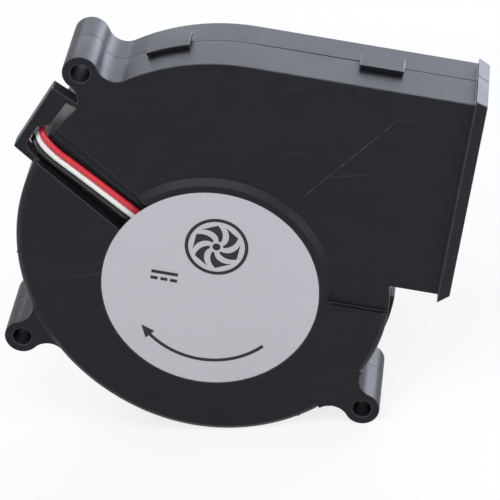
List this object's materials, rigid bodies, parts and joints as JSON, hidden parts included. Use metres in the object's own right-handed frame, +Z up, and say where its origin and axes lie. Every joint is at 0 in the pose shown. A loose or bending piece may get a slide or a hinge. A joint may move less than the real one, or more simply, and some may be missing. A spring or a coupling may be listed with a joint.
{
  "type": "dc blower fan",
  "caption": "Flat centrifugal blower: snap-fitted volute casing, outer-rotor brushless motor on its hub, forward-curved impeller, rectangular outlet and wire leads.",
  "frame": {"origin": "on the rotor axis, in the plane of the labelled motor-side face", "axes": "+Z up as the fan stands on its scroll and lower right ear; the rotor axis is Y, the labelled side looks toward -Y and the inlet toward +Y; the outlet opens toward +X and slightly down"},
  "size_m": [0.1139, 0.0474, 0.096],
  "materials": {
    "casing_front": "black glass-filled moulding, satin",
    "casing_rear": "black glass-filled moulding, satin",
    "label": "light grey printed film, satin",
    "bearing_tube": "turned",
    "outer_races": "ground and polished",
    "bearing_shields": "pressed",
    "stator_core": "stamped laminations",
    "insulator_front": "moulded",
    "insulator_rear": "moulded",
    "windings": "enamelled copper wire",
    "circuit_board": "solder mask over fibreglass",
    "driver_chip": "moulded epoxy",
    "hall_sensor": "moulded epoxy",
    "capacitor": "fired",
    "terminal_pins": "tinned",
    "impeller": "black moulding, satin",
    "rotor_cup": "deep drawn",
    "ring_magnet": "bonded ferrite",
    "shaft": "ground",
    "rotor_bush": "turned",
    "inner_races": "ground and polished",
    "preload_spring": "spring steel",
    "retaining_clip": "spring steel",
    "bearing_balls": "polished",
    "ball_cages": "pressed",
    "lead_red": "insulation, satin",
    "lead_white": "insulation, satin",
    "lead_black": "insulation, satin",
    "lead_coil": "insulation, satin",
    "coil_tie": "moulded",
    "lead_tips": "tinned copper"
  },
  "bodies": {
    "casing": {"casing_front": "casing_front", "casing_rear": "casing_rear", "label": "label", "bearing_tube": "bearing_tube", "outer_races": "outer_races", "bearing_shields": "bearing_shields", "stator_core": "stator_core", "insulator_front": "insulator_front", "insulator_rear": "insulator_rear", "windings": "windings", "circuit_board": "circuit_board", "driver_chip": "driver_chip", "hall_sensor": "hall_sensor", "capacitor": "capacitor", "terminal_pins": "terminal_pins", "lead_red": "lead_red", "lead_white": "lead_white", "lead_black": "lead_black", "lead_coil": "lead_coil", "coil_tie": "coil_tie", "lead_tips": "lead_tips"},
    "rotor": {"impeller": "impeller", "rotor_cup": "rotor_cup", "ring_magnet": "ring_magnet", "shaft": "shaft", "rotor_bush": "rotor_bush", "inner_races": "inner_races", "preload_spring": "preload_spring", "retaining_clip": "retaining_clip"},
    "ball_sets": {"bearing_balls": "bearing_balls", "ball_cages": "ball_cages"}
  },
  "joints": [
    {"name": "rotor_spin", "type": "hinge", "parent": "casing", "child": "rotor", "pos_m": [0, 0, 0], "axis": [0, 1, 0], "continuous": true},
    {"name": "ball_orbit", "type": "hinge", "parent": "casing", "child": "ball_sets", "pos_m": [0, 0, 0], "axis": [0, 1, 0], "continuous": true}
  ],
  "couplings": [
    {"joint": "ball_orbit", "follows": "rotor_spin", "ratio": 0.40909}
  ]
}
